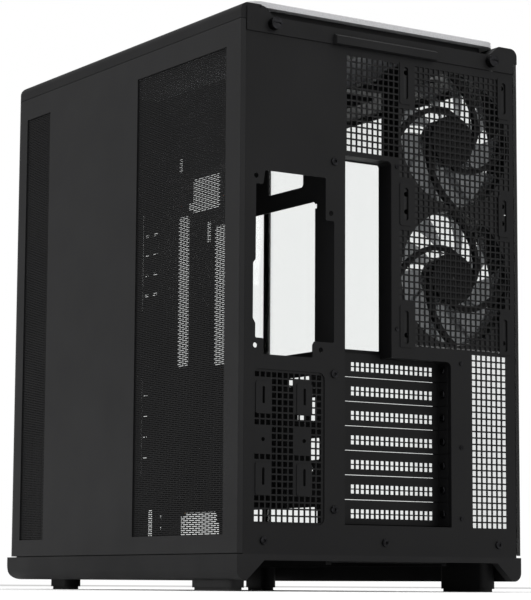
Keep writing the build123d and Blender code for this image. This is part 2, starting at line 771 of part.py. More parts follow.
def side_panel():
    """The lift-off steel side: rounded over at the front, turned in along its other edges."""
    outer = area(FRONT_RETURN_X, HALF, FRONT_Y, REAR_Y)
    inner = area(FRONT_RETURN_X - 1, HALF - STEEL, FRONT_Y + STEEL, REAR_Y - STEEL)
    front_corner = outer.vertices().group_by(Axis.Y)[0].sort_by(Axis.X)[-1]
    inner_corner = inner.vertices().group_by(Axis.Y)[0].sort_by(Axis.X)[-1]
    outer = fillet(front_corner, CORNER)
    outer = fillet(outer.vertices().sort_by_distance(Vertex(HALF, REAR_Y, 0))[0], 1.0)
    inner = fillet(inner_corner, CORNER - STEEL)
    shell = along_z(outer, PANEL_BOTTOM, PANEL_TOP - PANEL_BOTTOM)
    shell = shell - along_z(inner, PANEL_BOTTOM + STEEL, PANEL_TOP - PANEL_BOTTOM - 2 * STEEL)
    shell = shell - box_between(
        (FRONT_RETURN_X - 1, FRONT_Y + 3, PANEL_BOTTOM - 1), (INNER_X + 0.9, REAR_Y + 1, PANEL_TOP + 1)
    )
    for y0, y1 in (WIDE_MESH_Y, NARROW_MESH_Y):
        shell = shell - along_x(area(y0, y1, MESH_LOW, MESH_HIGH), HALF - 3, 6)
    return shell


def side_mesh(y0, y1):
    """Fine mesh backing one window of the steel side."""
    plan = area(y0 - 2.5, y1 + 2.5, MESH_LOW - 2.5, MESH_HIGH + 2.5)
    return along_x(plan, HALF - STEEL - 0.8, 0.8)


def left_glass():
    """The tempered glass side."""
    low = (-HALF, FRONT_Y + GLASS + 0.4, PANEL_BOTTOM + 1)
    pane = box_between(low, (-HALF + GLASS, REAR_Y - 0.5, PANEL_TOP + 0.2))
    return chamfer(pane.edges().filter_by(Axis.Z), 0.5)


def left_glass_strips():
    """Steel strips bonded along the top and bottom of the side glass."""
    x0 = -HALF + GLASS
    strips = []
    for z0, z1 in ((PANEL_BOTTOM + 2, PANEL_BOTTOM + 14), (PANEL_TOP - 14, PANEL_TOP - 1)):
        strips.append(box_between((x0, FRONT_Y + 10, z0), (x0 + 0.8, REAR_Y - 4, z1)))
    return group(strips)


GLASS_RIGHT_X = 49.5


def front_glass():
    """The tempered glass front of the left-hand chamber."""
    pane = box_between((-HALF, FRONT_Y, PANEL_BOTTOM + 1), (GLASS_RIGHT_X, FRONT_Y + GLASS, PANEL_TOP + 0.2))
    return chamfer(pane.edges().filter_by(Axis.Z), 0.5)


def front_glass_strips():
    """Steel strips bonded along the top and bottom of the front glass."""
    y0 = FRONT_Y + GLASS
    strips = []
    for z0, z1 in ((PANEL_BOTTOM + 2, PANEL_BOTTOM + 14), (PANEL_TOP - 14, PANEL_TOP - 1)):
        strips.append(box_between((-HALF + 10, y0, z0), (GLASS_RIGHT_X - 2, y0 + 0.8, z1)))
    return group(strips)


# ---------------------------------------------------------------- front cover and ports

COVER_X = (50.5, 132.4)
PORT_X = 91.5
PORT_Z = (285.0, 405.0)
POWER_Z = 392.0
RESET_Z = 370.0
USB_A_Z = (345.0, 323.0)
USB_C_Z = 305.0
AUDIO_Z = 293.0
BUTTON_R = 6.5
RESET_R = 2.6


def front_cover():
    """The fixed steel front beside the glass, with a slot for the port strip."""
    x0, x1 = COVER_X
    sheet = area(x0, x1, PANEL_BOTTOM, PANEL_TOP) - area(PORT_X - 11, PORT_X + 11, *PORT_Z, 8)
    cover = along_y(sheet, FRONT_Y + STEEL, STEEL)
    for x in (x0, x1 - STEEL):
        edge = box_between((x, FRONT_Y, PANEL_BOTTOM), (x + STEEL, FRONT_Y + COVER_RETURN, PANEL_TOP))
        cover = cover + edge
    return cover


def port_strip():
    """The moulded strip that carries the buttons and ports."""
    face = area(PORT_X - 10.8, PORT_X + 10.8, PORT_Z[0] + 0.2, PORT_Z[1] - 0.2, 7.8)
    face = face - Pos(PORT_X, POWER_Z) * Circle(BUTTON_R + 0.3)
    face = face - Pos(PORT_X, RESET_Z) * Circle(RESET_R + 0.3)
    for z in USB_A_Z:
        face = face - area(PORT_X - 3.2, PORT_X + 3.2, z - 7.0, z + 7.0)
    face = face - Pos(PORT_X, USB_C_Z) * SlotOverall(9.4, 3.6, rotation=90)
    face = face - Pos(PORT_X, AUDIO_Z) * Circle(3.0)
    strip = along_y(face, FRONT_Y + 4.5, 4.2)
    flange = area(PORT_X - 13, PORT_X + 13, PORT_Z[0] - 2, PORT_Z[1] + 2, 9.8) - area(
        PORT_X - 9, PORT_X + 9, PORT_Z[0] + 2, PORT_Z[1] - 2, 6
    )
    return strip + along_y(flange, FRONT_Y + 2.4, 1.4)


def usb_a_ports():
    """Two full-size sockets: a metal shell and a tongue in each."""
    solids = []
    for z in USB_A_Z:
        shell = area(PORT_X - 3.1, PORT_X + 3.1, z - 6.9, z + 6.9)
        shell = shell - area(PORT_X - 2.6, PORT_X + 2.6, z - 6.4, z + 6.4)
        tube = along_y(shell, FRONT_Y + 14.0, 13.4)
        back = box_between((PORT_X - 3.1, FRONT_Y + 14.0, z - 6.9), (PORT_X + 3.1, FRONT_Y + 15.0, z + 6.9))
        tongue = box_between((PORT_X - 0.2, FRONT_Y + 1.5, z - 5.6), (PORT_X + 1.8, FRONT_Y + 14.5, z + 5.6))
        solids.append(tube + back + tongue)
    return group(solids)


def usb_c_port():
    """The small reversible socket."""
    spot = Pos(PORT_X, USB_C_Z)
    outer = spot * SlotOverall(9.2, 3.4, rotation=90)
    tube = along_y(outer - spot * SlotOverall(8.4, 2.6, rotation=90), FRONT_Y + 14, 13.4)
    back = along_y(outer, FRONT_Y + 15, 1.0)
    low = (PORT_X - 0.35, FRONT_Y + 1.5, USB_C_Z - 3)
    tongue = box_between(low, (PORT_X + 0.35, FRONT_Y + 14.5, USB_C_Z + 3))
    return tube + back + tongue


def audio_jack():
    """The round headset socket."""
    ring = Pos(PORT_X, AUDIO_Z) * (Circle(2.9) - Circle(1.8))
    back = Pos(PORT_X, AUDIO_Z) * Circle(2.9)
    return along_y(ring, FRONT_Y + 14, 13.4) + along_y(back, FRONT_Y + 15, 1.0)


def port_board():
    """The small circuit board behind the port strip, with a switch body behind each button."""
    board = box_between(
        (PORT_X - 9, FRONT_Y + 15, PORT_Z[0] + 2), (PORT_X + 9, FRONT_Y + 16.6, PORT_Z[1] - 4)
    )
    for z in (POWER_Z, RESET_Z):
        board = board + box_between((PORT_X - 3, FRONT_Y + 9, z - 3), (PORT_X + 3, FRONT_Y + 15, z + 3))
    return board


def button(radius, z):
    """A round push button with a flange behind the strip."""
    cap = along_y(Pos(PORT_X, z) * Circle(radius), FRONT_Y + 5.0, 4.9)
    cap = fillet(cap.edges().group_by(Axis.Y)[0], 0.5)
    flange = along_y(Pos(PORT_X, z) * Circle(radius + 1.4), FRONT_Y + 6.2, 1.2)
    return cap + flange


# ---------------------------------------------------------------- drive cage and brackets

CAGE_X = (52.0, 137.0)
CAGE_Y = (FRONT_Y + COVER_RETURN + STEEL, FRONT_Y + 68.0)
CAGE_Z = (BASE_TOP + STEEL, 142.0)
SLED_COUNT = 3
SLED_PITCH = 18.5


def drive_cage():
    """The steel box at the front of the right-hand chamber, open towards the steel side."""
    outer = box_between((CAGE_X[0], CAGE_Y[0], CAGE_Z[0]), (CAGE_X[1], CAGE_Y[1], CAGE_Z[1]))
    inner = box_between(
        (CAGE_X[0] + STEEL, CAGE_Y[0] + STEEL, CAGE_Z[0] + STEEL),
        (CAGE_X[1] + 1, CAGE_Y[1] - STEEL, CAGE_Z[1] - STEEL),
    )
    cage = outer - inner
    for z in (55.0, 86.0, 117.0):
        cage = cage - box_between((75, CAGE_Y[1] - 3, z - 9), (115, CAGE_Y[1] + 3, z + 9))
    return cage


def drive_sled(index):
    """One sled for a flat drive: a plate with a rim and a pull handle."""
    y0 = CAGE_Y[0] + STEEL + 1.0 + SLED_PITCH * index
    z0 = CAGE_Z[0] + STEEL
    z1 = CAGE_Z[1] - STEEL - 0.4
    x1 = CAGE_X[1] - 2.0
    sled = box_between((CAGE_X[0] + 6, y0, z0), (x1, y0 + 14, z1))
    well = box_between((CAGE_X[0] + 8, y0 + 2, z0 + 2), (x1 - 4, y0 + 15, z1 - 2))
    sled = sled - well
    grip = box_between((x1 - 2, y0 + 3, z0 + 35), (x1 + 1, y0 + 11, z1 - 35))
    return sled - grip


BRACKET_Z = (82.0, 188.0)
BRACKET_Y = (-38.0, 36.0)
BRACKET_WIDTH = 70.0


def drive_bracket(y0):
    """A flat plate for a small drive, stood off the tray on four hooks."""
    x0 = TRAY_X + STEEL + 3.0
    plate = area(y0, y0 + BRACKET_WIDTH, *BRACKET_Z, 4)
    plate = plate - area(y0 + 14, y0 + BRACKET_WIDTH - 14, BRACKET_Z[0] + 22, BRACKET_Z[1] - 22, 5)
    bracket = along_x(plate, x0, 1.2)
    for y in (y0 + 6, y0 + BRACKET_WIDTH - 6):
        for z in (BRACKET_Z[0] + 8, BRACKET_Z[1] - 8):
            bracket = bracket + facing_right(Cylinder(2.5, 2.9), x0 - 1.4, y, z)
    return bracket


def build():
    """Every piece, by node name."""
    nodes = {
        "base_skirt": base_skirt(),
        "feet": feet(),
        "foot_pads": foot_pads(),
        "filter_rails": filter_rails(),
        "filter_frame": filter_frame(),
        "filter_mesh": filter_mesh(),
        "floor_pan": floor_pan(),
        "motherboard_tray": motherboard_tray(),
        "standoffs": standoffs(),
        "top_plate": top_plate(),
        "front_bulkhead": front_bulkhead(),
        "rear_panel": rear_panel(),
        "rear_pocket": rear_pocket(),
        "psu_grille": psu_grille(),
        "upper_grille": upper_grille(),
        "fan_grille_upper": fan_grille_upper(),
        "fan_grille_lower": fan_grille_lower(),
        "side_vent": side_vent(),
        "slot_screws": slot_screws(),
        "rear_screws": rear_screws(),
        "rear_rivets": rear_rivets(),
        "top_cover": top_cover(),
        "top_rim": top_rim(),
        "top_mesh": top_mesh(),
        "top_skirt": top_skirt(),
        "side_panel": side_panel(),
        "side_mesh_wide": side_mesh(*WIDE_MESH_Y),
        "side_mesh_narrow": side_mesh(*NARROW_MESH_Y),
        "left_glass": left_glass(),
        "left_glass_strips": left_glass_strips(),
        "front_glass": front_glass(),
        "front_glass_strips": front_glass_strips(),
        "front_cover": front_cover(),
        "port_strip": port_strip(),
        "usb_a_ports": usb_a_ports(),
        "usb_c_port": usb_c_port(),
        "audio_jack": audio_jack(),
        "port_board": port_board(),
        "power_button": button(BUTTON_R, POWER_Z),
        "reset_button": button(RESET_R, RESET_Z),
        "drive_cage": drive_cage(),
    }
    for index in range(SLOT_COUNT):
        nodes[f"slot_cover_{index + 1}"] = slot_cover(index)
    frame_shape = fan_frame_shape()
    rotor_shape = fan_rotor_shape()
    for name, z in zip(("upper", "lower"), FAN_Z):
        nodes[f"fan_frame_{name}"] = facing_rear(frame_shape, FAN_X, FAN_FACE_Y, z)
        nodes[f"fan_rotor_{name}"] = facing_rear(rotor_shape, FAN_X, FAN_FACE_Y, z)
    for name, side in (("right", 1), ("left", -1)):
        nodes[f"thumbscrew_{name}"] = facing_rear(thumbscrew(), side * THUMB_X, REAR_Y + 1.2, THUMB_Z)
    for index in range(SLED_COUNT):
        nodes[f"drive_sled_{index + 1}"] = drive_sled(index)
    for index, y0 in enumerate(BRACKET_Y):
        nodes[f"drive_bracket_{index + 1}"] = drive_bracket(y0)
    return nodes


os.makedirs("parts", exist_ok=True)
for node, shape in build().items():
    export_step(shape, f"parts/{node}.step")
    print(node, round(shape.volume))
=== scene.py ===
import json
import math

import bmesh
import bpy
from mathutils import Matrix, Vector


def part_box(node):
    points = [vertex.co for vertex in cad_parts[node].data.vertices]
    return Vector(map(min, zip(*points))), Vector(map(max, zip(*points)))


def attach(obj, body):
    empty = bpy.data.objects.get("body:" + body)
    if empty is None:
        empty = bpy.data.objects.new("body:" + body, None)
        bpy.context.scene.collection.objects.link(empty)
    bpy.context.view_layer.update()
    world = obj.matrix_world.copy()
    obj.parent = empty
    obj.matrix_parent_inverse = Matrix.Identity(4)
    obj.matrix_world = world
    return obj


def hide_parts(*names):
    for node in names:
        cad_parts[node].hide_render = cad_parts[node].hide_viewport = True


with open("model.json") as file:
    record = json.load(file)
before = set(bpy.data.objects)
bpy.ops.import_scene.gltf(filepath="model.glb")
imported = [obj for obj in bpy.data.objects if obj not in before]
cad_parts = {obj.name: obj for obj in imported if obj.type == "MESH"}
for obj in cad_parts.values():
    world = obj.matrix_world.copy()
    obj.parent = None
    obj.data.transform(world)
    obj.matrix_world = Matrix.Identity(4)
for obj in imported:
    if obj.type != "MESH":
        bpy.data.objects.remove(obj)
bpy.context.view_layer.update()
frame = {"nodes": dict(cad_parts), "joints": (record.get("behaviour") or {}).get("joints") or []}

nodes = frame["nodes"]
mm = 0.001
scene = bpy.context.scene
print("frame loaded:", len(nodes), "nodes")


# small tools

def hexToLinear(code, alpha=1.0):
    # sRGB hex to the linear numbers that shaders want
    parts = [int(code[i:i + 2], 16) / 255 for i in (1, 3, 5)]
    linear = [c / 12.92 if c <= 0.04045 else ((c + 0.055) / 1.055) ** 2.4 for c in parts]
    return (*linear, alpha)


def addNode(tree, kind, inputs=None, **settings):
    # one node with its settings; an input is a plain value, or another node's output to link
    node = tree.nodes.new(kind)
    for name, value in settings.items():
        setattr(node, name, value)
    for name, value in (inputs or {}).items():
        if isinstance(value, bpy.types.NodeSocket):
            tree.links.new(value, node.inputs[name])
        else:
            node.inputs[name].default_value = value
    return node


def startMaterial(name):
    material = bpy.data.materials.new(name)
    material.use_nodes = True
    material.node_tree.nodes.clear()
    return material, material.node_tree


def finishMaterial(tree, shader):
    addNode(tree, "ShaderNodeOutputMaterial", {"Surface": shader})


def perMetre(sizeMm):
    # a texture's scale so that one feature is that many millimetres across
    return 1000 / sizeMm


def noise(tree, sizeMm, detail=2.0, roughness=0.5):
    place = addNode(tree, "ShaderNodeTexCoord")
    made = addNode(tree, "ShaderNodeTexNoise", {
        "Vector": place.outputs["Object"], "Scale": perMetre(sizeMm),
        "Detail": detail, "Roughness": roughness})
    return made.outputs["Fac"]


def spread(tree, value, low, high, fromLow=0.3, fromHigh=0.7):
    made = addNode(tree, "ShaderNodeMapRange", {
        "Value": value, "From Min": fromLow, "From Max": fromHigh, "To Min": low, "To Max": high})
    return made.outputs["Result"]


def tonesAround(colour, change):
    # a slightly darker and a slightly lighter tone of one colour
    middle = hexToLinear(colour)[:3]
    dark = tuple(c * (1 - change) for c in middle) + (1.0,)
    light = tuple(c * (1 + change) for c in middle) + (1.0,)
    return dark, light


def twoTones(tree, factor, first, second):
    made = addNode(tree, "ShaderNodeMix", {0: factor, 6: first, 7: second}, data_type="RGBA")
    return made.outputs[2]


# materials

powderCoat = {
    "grainMm": 1.1,          # real flow marks are about 0.3 mm, drawn coarser so that they show
    "grainDepthMm": 0.03,
    "grainStrength": 0.6,
    "cloudMm": 60.0,
    "toneChange": 0.1,       # how far the two tones lie either side of the colour
}


def powderCoatedSteel(name, colour, rough=(0.5, 0.6), specular=0.5):
    # sheet steel with baked epoxy powder: a satin skin with fine orange peel and faint clouding
    material, tree = startMaterial(name)
    cloud = noise(tree, powderCoat["cloudMm"], 3.0)
    grain = noise(tree, powderCoat["grainMm"], 2.0, 0.6)
    dark, light = tonesAround(colour, powderCoat["toneChange"])
    bump = addNode(tree, "ShaderNodeBump", {
        "Height": grain, "Distance": powderCoat["grainDepthMm"] * mm,
        "Strength": powderCoat["grainStrength"]})
    shader = addNode(tree, "ShaderNodeBsdfPrincipled", {
        "Base Color": twoTones(tree, spread(tree, grain, 0, 1), dark, light),
        "Roughness": spread(tree, cloud, *rough), "Specular IOR Level": specular,
        "IOR": 1.5, "Normal": bump.outputs["Normal"]})
    finishMaterial(tree, shader.outputs["BSDF"])
    return material


mouldTexture = {
    "pitMm": 1.4,            # spark-eroded texture is about 0.15 mm, drawn coarser so that it shows
    "pitDepthMm": 0.04,
    "pitStrength": 0.7,
    "sheenMm": 45.0,
    "toneChange": 0.12,
}


def mouldedAbs(name, colour, rough=(0.55, 0.66), specular=0.45):
    # ABS from a spark-eroded mould: an even matt grain that blurs every reflection
    material, tree = startMaterial(name)
    pits = noise(tree, mouldTexture["pitMm"], 3.0, 0.7)
    sheen = noise(tree, mouldTexture["sheenMm"], 2.0)
    dark, light = tonesAround(colour, mouldTexture["toneChange"])
    bump = addNode(tree, "ShaderNodeBump", {
        "Height": pits, "Distance": mouldTexture["pitDepthMm"] * mm,
        "Strength": mouldTexture["pitStrength"]})
    shader = addNode(tree, "ShaderNodeBsdfPrincipled", {
        "Base Color": twoTones(tree, spread(tree, pits, 0, 1), dark, light),
        "Roughness": spread(tree, sheen, *rough), "Specular IOR Level": specular,
        "IOR": 1.53, "Normal": bump.outputs["Normal"]})
    finishMaterial(tree, shader.outputs["BSDF"])
    return material


paneGlass = {"waveMm": 220.0, "waveDepthMm": 0.02, "waveStrength": 0.3}


def temperedGlass(name, tint):
    # float glass, tempered: clear, a faint green-grey tint, sharp reflections
    material, tree = startMaterial(name)
    waves = noise(tree, paneGlass["waveMm"], 1.0)
    bump = addNode(tree, "ShaderNodeBump", {
        "Height": waves, "Distance": paneGlass["waveDepthMm"] * mm,
        "Strength": paneGlass["waveStrength"]})
    shader = addNode(tree, "ShaderNodeBsdfPrincipled", {
        "Base Color": hexToLinear(tint), "Roughness": 0.0, "IOR": 1.52,
        "Transmission Weight": 1.0, "Normal": bump.outputs["Normal"]})
    finishMaterial(tree, shader.outputs["BSDF"])
    return material


grainSizesMm = {
    "enamelScreen": 0.8,
    "zincPatches": 2.5,
    "toolMarks": 0.6,
    "rubberBloom": 6.0,
    "nylonSlub": 3.0,
    "bladeRipple": 14.0,
    "laminateWeave": 1.0,
    "floorWash": 900.0,
}


def firedEnamel(name, colour):
    # black ceramic print fired into the pane's edge: dense, a little glossy, faint screen grain
    material, tree = startMaterial(name)
    grain = noise(tree, grainSizesMm["enamelScreen"], 1.0)
    shader = addNode(tree, "ShaderNodeBsdfPrincipled", {
        "Base Color": hexToLinear(colour), "Roughness": spread(tree, grain, 0.28, 0.36),
        "IOR": 1.5})
    finishMaterial(tree, shader.outputs["BSDF"])
    return material


def zincPlatedSteel(name, colour, rough=(0.34, 0.46)):
    # cold-headed steel with black zinc plating: dark metal with worn-looking brighter patches
    material, tree = startMaterial(name)
    patches = noise(tree, grainSizesMm["zincPatches"], 3.0)
    tone = twoTones(tree, spread(tree, patches, 0, 1), hexToLinear(colour), hexToLinear("#2E2E30"))
    shader = addNode(tree, "ShaderNodeBsdfPrincipled", {
        "Base Color": tone, "Metallic": 1.0, "Roughness": spread(tree, patches, *rough)})
    finishMaterial(tree, shader.outputs["BSDF"])
    return material


def turnedMetal(name, colour, rough=(0.22, 0.34)):
    # bar-turned or plated metal: clean colour with fine tool marks that vary the gloss
    material, tree = startMaterial(name)
    marks = noise(tree, grainSizesMm["toolMarks"], 1.0)
    shader = addNode(tree, "ShaderNodeBsdfPrincipled", {
        "Base Color": hexToLinear(colour), "Metallic": 1.0,
        "Roughness": spread(tree, marks, *rough)})
    finishMaterial(tree, shader.outputs["BSDF"])
    return material


def mouldedRubber(name, colour):
    # compression-moulded silicone rubber: dull, with a dusty bloom
    material, tree = startMaterial(name)
    bloom = noise(tree, grainSizesMm["rubberBloom"], 3.0)
    tone = twoTones(tree, spread(tree, bloom, 0, 1), hexToLinear(colour), hexToLinear("#2B2B2B"))
    shader = addNode(tree, "ShaderNodeBsdfPrincipled", {
        "Base Color": tone, "Roughness": spread(tree, bloom, 0.75, 0.9), "IOR": 1.43})
    finishMaterial(tree, shader.outputs["BSDF"])
    return material


def wovenNylon(name, colour):
    # monofilament nylon gauze: fine smooth threads
    material, tree = startMaterial(name)
    slub = noise(tree, grainSizesMm["nylonSlub"], 2.0)
    tone = twoTones(tree, spread(tree, slub, 0, 1), hexToLinear(colour), hexToLinear("#202020"))
    shader = addNode(tree, "ShaderNodeBsdfPrincipled", {
        "Base Color": tone, "Roughness": spread(tree, slub, 0.45, 0.6), "IOR": 1.53})
    finishMaterial(tree, shader.outputs["BSDF"])
    return material


fanLook = {
    "cupRadiusMm": 21.4,     # inside this the moulding is the black motor cup
    "blade": "#C9CACC",
    "skin": "#6A6B6D",
    "clear": "#D4D5D6",
    "cup": "#111112",
    "glowShare": 0.5,        # of the frosted skin, how much glows with light from behind
    "clearShare": 0.5,       # of the whole blade, how much is seen straight through
}


def smokedPolycarbonate(name, axisX, axisZ):
    # one moulding: frosted smoke-grey blades that let light through, round a black motor cup
    material, tree = startMaterial(name)
    place = addNode(tree, "ShaderNodeTexCoord")
    parts = addNode(tree, "ShaderNodeSeparateXYZ", {"Vector": place.outputs["Object"]})
    dx = addNode(tree, "ShaderNodeMath", {0: parts.outputs["X"], 1: axisX}, operation="SUBTRACT")
    dz = addNode(tree, "ShaderNodeMath", {0: parts.outputs["Z"], 1: axisZ}, operation="SUBTRACT")
    flat = addNode(tree, "ShaderNodeCombineXYZ", {"X": dx.outputs[0], "Y": dz.outputs[0]})
    radius = addNode(tree, "ShaderNodeVectorMath", {0: flat.outputs[0]}, operation="LENGTH")
    inCup = addNode(tree, "ShaderNodeMath", {
        0: radius.outputs["Value"], 1: fanLook["cupRadiusMm"] * mm}, operation="LESS_THAN")
    ripple = noise(tree, grainSizesMm["bladeRipple"], 2.0)
    cup = addNode(tree, "ShaderNodeBsdfPrincipled", {
        "Base Color": hexToLinear(fanLook["cup"]), "Roughness": spread(tree, ripple, 0.4, 0.5),
        "IOR": 1.58})
    glow = addNode(tree, "ShaderNodeBsdfTranslucent", {"Color": hexToLinear(fanLook["blade"])})
    frosted = addNode(tree, "ShaderNodeBsdfPrincipled", {
        "Base Color": hexToLinear(fanLook["skin"]), "Roughness": spread(tree, ripple, 0.3, 0.42),
        "IOR": 1.58})
    through = addNode(tree, "ShaderNodeBsdfTransparent", {"Color": hexToLinear(fanLook["clear"])})
    milky = addNode(tree, "ShaderNodeMixShader", {
        0: fanLook["glowShare"], 1: frosted.outputs[0], 2: glow.outputs[0]})
    blade = addNode(tree, "ShaderNodeMixShader", {
        0: fanLook["clearShare"], 1: milky.outputs[0], 2: through.outputs[0]})
    both = addNode(tree, "ShaderNodeMixShader", {
        0: inCup.outputs[0], 1: blade.outputs[0], 2: cup.outputs[0]})
    finishMaterial(tree, both.outputs[0])
    return material


def solderMask(name):
    # fibreglass laminate under green lacquer
    material, tree = startMaterial(name)
    weave = noise(tree, grainSizesMm["laminateWeave"], 1.0)
    shader = addNode(tree, "ShaderNodeBsdfPrincipled", {
        "Base Color": twoTones(tree, weave, hexToLinear("#0E3B22"), hexToLinear("#14482B")),
        "Roughness": 0.35, "IOR": 1.55})
    finishMaterial(tree, shader.outputs["BSDF"])
    return material


finishes = {
    "sideCoat": powderCoatedSteel("powder_coated_side_steel", "#141415", specular=0.22),
    "frameCoat": powderCoatedSteel("powder_coated_frame_steel", "#131314", specular=0.25),
    # painted shade: the rear steel is the side's coat made darker, standing for the weaker light on
    # the rear
    "rearShadedCoat": powderCoatedSteel("powder_coated_rear_steel_painted_shade", "#0E0E0F", specular=0.18),
    # painted shade: the recess walls get the same steel darker still, for the shadow inside the
    # recess
    "pocketShadedCoat": powderCoatedSteel("powder_coated_recess_steel_painted_shade", "#0B0B0C", specular=0.12),
    "coverCoat": powderCoatedSteel("powder_coated_slot_covers", "#0D0D0E", specular=0.18),
    "meshCoat": powderCoatedSteel("powder_coated_perforated_steel", "#0B0B0C", specular=0.14),
    "baseAbs": mouldedAbs("moulded_black_abs", "#111112", specular=0.2),
    "footAbs": mouldedAbs("moulded_foot_abs", "#101011", specular=0.25),
    "topAbs": mouldedAbs("moulded_top_abs", "#101011", specular=0.18),
    # painted highlight: the top rim's pale grey stands in for the white reflection along its
    # rounded edge
    "rimHighlightAbs": mouldedAbs("pale_grey_abs_painted_highlight", "#C4C4C6", (0.42, 0.5)),
    "meshPale": powderCoatedSteel("powder_coated_pale_mesh", "#8E8F92"),
    "fanPbt": mouldedAbs("moulded_fan_pbt", "#0D0D0E", (0.42, 0.52), 0.25),
    "portAbs": mouldedAbs("moulded_port_abs", "#1C1C1D", (0.45, 0.55)),
    "glass": temperedGlass("tempered_float_glass", "#EDEFEE"),
    "enamel": firedEnamel("fired_black_enamel", "#0A0A0A"),
    "screws": zincPlatedSteel("black_zinc_plated_steel", "#151516"),
    "brass": turnedMetal("bar_turned_brass", "#C9A25A"),
    "nickel": turnedMetal("nickel_plated_steel", "#B8B6B0", (0.18, 0.3)),
    "rubber": mouldedRubber("moulded_silicone_rubber", "#1A1A1A"),
    "nylon": wovenNylon("woven_black_nylon", "#141414"),
    "board": solderMask("green_solder_mask"),
}
print("materials made:", len(finishes))


# which finish each carried-over piece gets

finishOf = {
    "baseAbs": ["base_skirt"],
    "footAbs": ["feet", "filter_rails", "filter_frame"],
    "rubber": ["foot_pads"],
    "frameCoat": ["floor_pan", "motherboard_tray", "top_plate", "front_bulkhead", "drive_cage",
                  "drive_bracket_1", "drive_bracket_2", "left_glass_strips", "front_glass_strips"],
    "brass": ["standoffs"],
    "rearShadedCoat": ["rear_panel", "psu_grille", "upper_grille", "fan_grille_upper", "fan_grille_lower",
                 "side_vent"],
    "pocketShadedCoat": ["rear_pocket"],
    "coverCoat": [f"slot_cover_{i}" for i in range(1, 8)],
    "screws": ["slot_screws", "rear_screws", "rear_rivets", "thumbscrew_left", "thumbscrew_right"],
    "topAbs": ["top_cover", "top_skirt"],
    "rimHighlightAbs": ["top_rim"],
    "sideCoat": ["side_panel", "front_cover"],
    "glass": ["left_glass", "front_glass"],
    "fanPbt": ["fan_frame_upper", "fan_frame_lower"],
    "portAbs": ["port_strip", "power_button", "reset_button", "drive_sled_1", "drive_sled_2",
                "drive_sled_3", "audio_jack"],
    "nickel": ["usb_a_ports", "usb_c_port"],
    "board": ["port_board"],
}


def setMaterial(thing, material):
    thing.data.materials.clear()
    thing.data.materials.append(material)


for finish, names in finishOf.items():
    for name in names:
        setMaterial(nodes[name], finishes[finish])

for name in ("fan_rotor_upper", "fan_rotor_lower"):
    fan = name.replace("fan_rotor_", "") + "_fan"
    spin = next(joint for joint in frame["joints"] if joint["child"] == fan)
    axisX, axisZ = spin["pos_m"][0], spin["pos_m"][2]
    setMaterial(nodes[name], smokedPolycarbonate(f"smoked_{name}", axisX, axisZ))
print("finishes given to the carried-over pieces")


# perforated sheets and gauze

boxFaces = ((0, 1, 3, 2), (4, 6, 7, 5), (0, 4, 5, 1), (2, 3, 7, 6), (0, 2, 6, 4), (1, 5, 7, 3))


def addBar(mesh, low, high):
    # one closed bar between two corners
    corners = [mesh.verts.new((x, y, z)) for x in (low[0], high[0]) for y in (low[1], high[1])
               for z in (low[2], high[2])]
    for quad in boxFaces:
        mesh.faces.new([corners[i] for i in quad])


def meshObject(name, mesh, material):
    data = bpy.data.meshes.new(name)
    mesh.normal_update()
    mesh.to_mesh(data)
    mesh.free()
    thing = bpy.data.objects.new(name, data)
    scene.collection.objects.link(thing)
    setMaterial(thing, material)
    return thing


perforation = {
    "rowMm": 1.6,            # from one row of slots to the next
    "columnMm": 9.5,
    "slotTallMm": 0.52,
    "slotLongMm": 8.7,
    "borderMm": 2.5,
    "leastBridgeMm": 0.1,    # a shorter bridge than this is left out
}


def barBetween(mesh, across, thick, a0, a1, b0, b1, t0, t1):
    # a bar given by its span along two sheet directions and through the thickness
    low, high = [0, 0, 0], [0, 0, 0]
    low[across[0]], high[across[0]] = a0, a1
    low[across[1]], high[across[1]] = b0, b1
    low[thick], high[thick] = t0, t1
    addBar(mesh, low, high)


def perforatedSheet(name, node, thick, material):
    # staggered slots: full-length webs between the rows, and short bridges between slots
    low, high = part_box(node)
    long, tall = [i for i in range(3) if i != thick]
    look = perforation
    row, column = look["rowMm"] * mm, look["columnMm"] * mm
    slotTall, slotLong = look["slotTallMm"] * mm, look["slotLongMm"] * mm
    border, leastBridge = look["borderMm"] * mm, look["leastBridgeMm"] * mm
    sheet = (long, tall)
    t0, t1 = low[thick], high[thick]
    a0, a1 = low[long], high[long]
    b0, b1 = low[tall], high[tall]
    rows = int((b1 - b0 - 2 * border) / row)
    startB = (b0 + b1 - rows * row) / 2
    mesh = bmesh.new()
    web = row - slotTall
    barBetween(mesh, sheet, thick, a0, a1, b0, startB + web / 2, t0, t1)
    for i in range(rows):
        slotLow = startB + i * row + web / 2
        nextWeb = slotLow + slotTall
        webTop = nextWeb + web if i < rows - 1 else b1
        barBetween(mesh, sheet, thick, a0, a1, nextWeb, webTop, t0, t1)
        barBetween(mesh, sheet, thick, a0, a0 + border, slotLow, nextWeb, t0, t1)
        barBetween(mesh, sheet, thick, a1 - border, a1, slotLow, nextWeb, t0, t1)
        at = a0 + border + slotLong - (column / 2 if i % 2 else 0)
        while at < a1 - border:
            bridgeLow, bridgeHigh = max(at, a0 + border), min(at + column - slotLong, a1 - border)
            if bridgeHigh - bridgeLow > leastBridge:
                barBetween(mesh, sheet, thick, bridgeLow, bridgeHigh, slotLow, nextWeb, t0, t1)
            at += column
    return meshObject(name, mesh, material)


gauze = {"threadMm": 0.5, "pitchMm": 1.6, "thickMm": 0.6}


